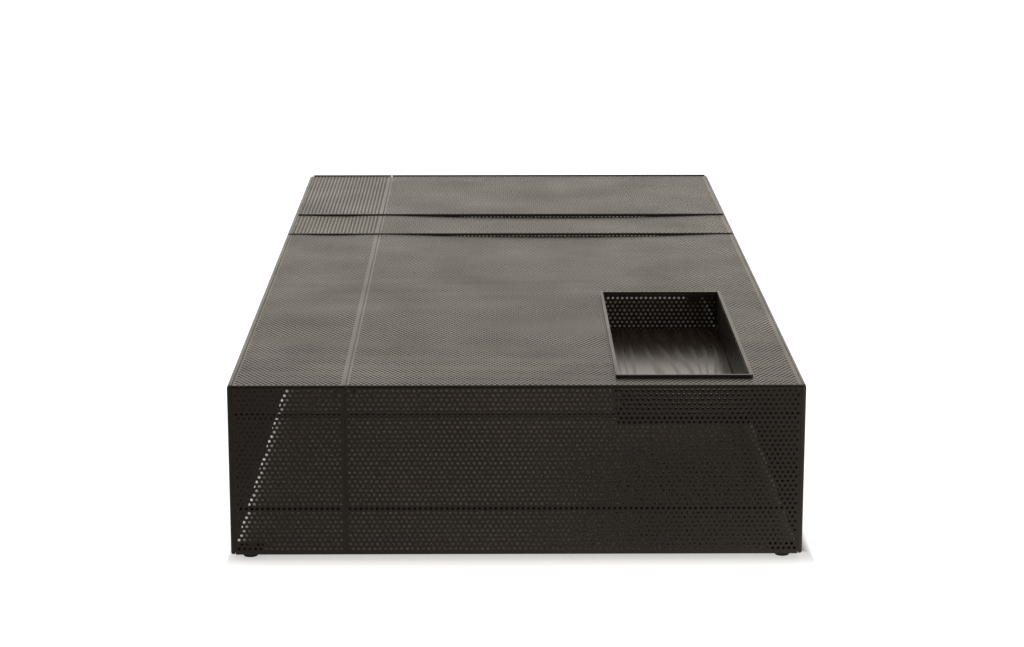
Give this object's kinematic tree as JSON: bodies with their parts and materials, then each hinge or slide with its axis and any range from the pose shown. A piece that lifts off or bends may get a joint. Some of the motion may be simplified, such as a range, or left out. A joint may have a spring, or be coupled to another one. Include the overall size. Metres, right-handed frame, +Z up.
{
  "type": "low coffee table with drop-in tray",
  "caption": "Low rectangular coffee table of dark perforated sheet steel on small round feet, with a removable wood-bottomed tray sunk into its top.",
  "frame": {"origin": "middle of the footprint, on the floor", "axes": "+X to the right, +Y to the back, +Z up; the tray is near the front right corner"},
  "size_m": [0.85, 1.76, 0.2735],
  "materials": {
    "perforated_sheet": "satin dark bronze paint on sheet steel with round holes in staggered rows",
    "painted_steel": "satin dark bronze paint",
    "bare_steel": "zinc-plated fasteners, dull",
    "foot_rubber": "matte black rubber",
    "stained_wood": "dark stain under satin lacquer, straight and arched grain"
  },
  "bodies": {
    "table": {"back_panel_left": "perforated_sheet", "back_panel_right": "perforated_sheet", "back_rivet_lower": "bare_steel", "back_rivet_upper": "bare_steel", "back_rod_lower": "painted_steel", "back_rod_upper": "painted_steel", "corner_plate_back_left": "painted_steel", "corner_plate_back_right": "painted_steel", "corner_plate_front_left": "painted_steel", "corner_plate_front_right": "painted_steel", "foot_back_left": "foot_rubber", "foot_back_right": "foot_rubber", "foot_bolt_back_left": "bare_steel", "foot_bolt_back_right": "bare_steel", "foot_bolt_front_left": "bare_steel", "foot_bolt_front_right": "bare_steel", "foot_front_left": "foot_rubber", "foot_front_right": "foot_rubber", "foot_nut_back_left": "bare_steel", "foot_nut_back_right": "bare_steel", "foot_nut_front_left": "bare_steel", "foot_nut_front_right": "bare_steel", "front_panel_left": "perforated_sheet", "front_panel_right": "perforated_sheet", "front_rivet_lower": "bare_steel", "front_rivet_upper": "bare_steel", "front_rod_lower": "painted_steel", "front_rod_upper": "painted_steel", "ledge_left_back": "painted_steel", "ledge_left_front": "painted_steel", "ledge_right_back": "painted_steel", "ledge_right_front": "painted_steel", "seam_channel_far_left": "painted_steel", "seam_channel_far_right": "painted_steel", "seam_channel_long": "painted_steel", "seam_channel_near_left": "painted_steel", "seam_channel_near_right": "painted_steel", "side_panel_left_back": "perforated_sheet", "side_panel_left_front": "perforated_sheet", "side_panel_right_back": "perforated_sheet", "side_panel_right_front": "perforated_sheet", "top_panel_back_left": "perforated_sheet", "top_panel_back_right": "perforated_sheet", "top_panel_front_left": "perforated_sheet", "top_panel_front_right": "perforated_sheet", "top_panel_middle_left": "perforated_sheet", "top_panel_middle_right": "perforated_sheet"},
    "tray": {"tray_board": "stained_wood", "tray_bottom": "perforated_sheet", "tray_rim": "painted_steel", "tray_screw_back_left": "bare_steel", "tray_screw_back_right": "bare_steel", "tray_screw_front_left": "bare_steel", "tray_screw_front_right": "bare_steel", "tray_wall_back": "perforated_sheet", "tray_wall_front": "perforated_sheet", "tray_wall_left": "perforated_sheet", "tray_wall_right": "perforated_sheet"}
  },
  "joints": [
    {"name": "tray_lift", "type": "slide", "parent": "table", "child": "tray", "axis": [0, 0, 1], "range_m": [0, 0.12]}
  ]
}
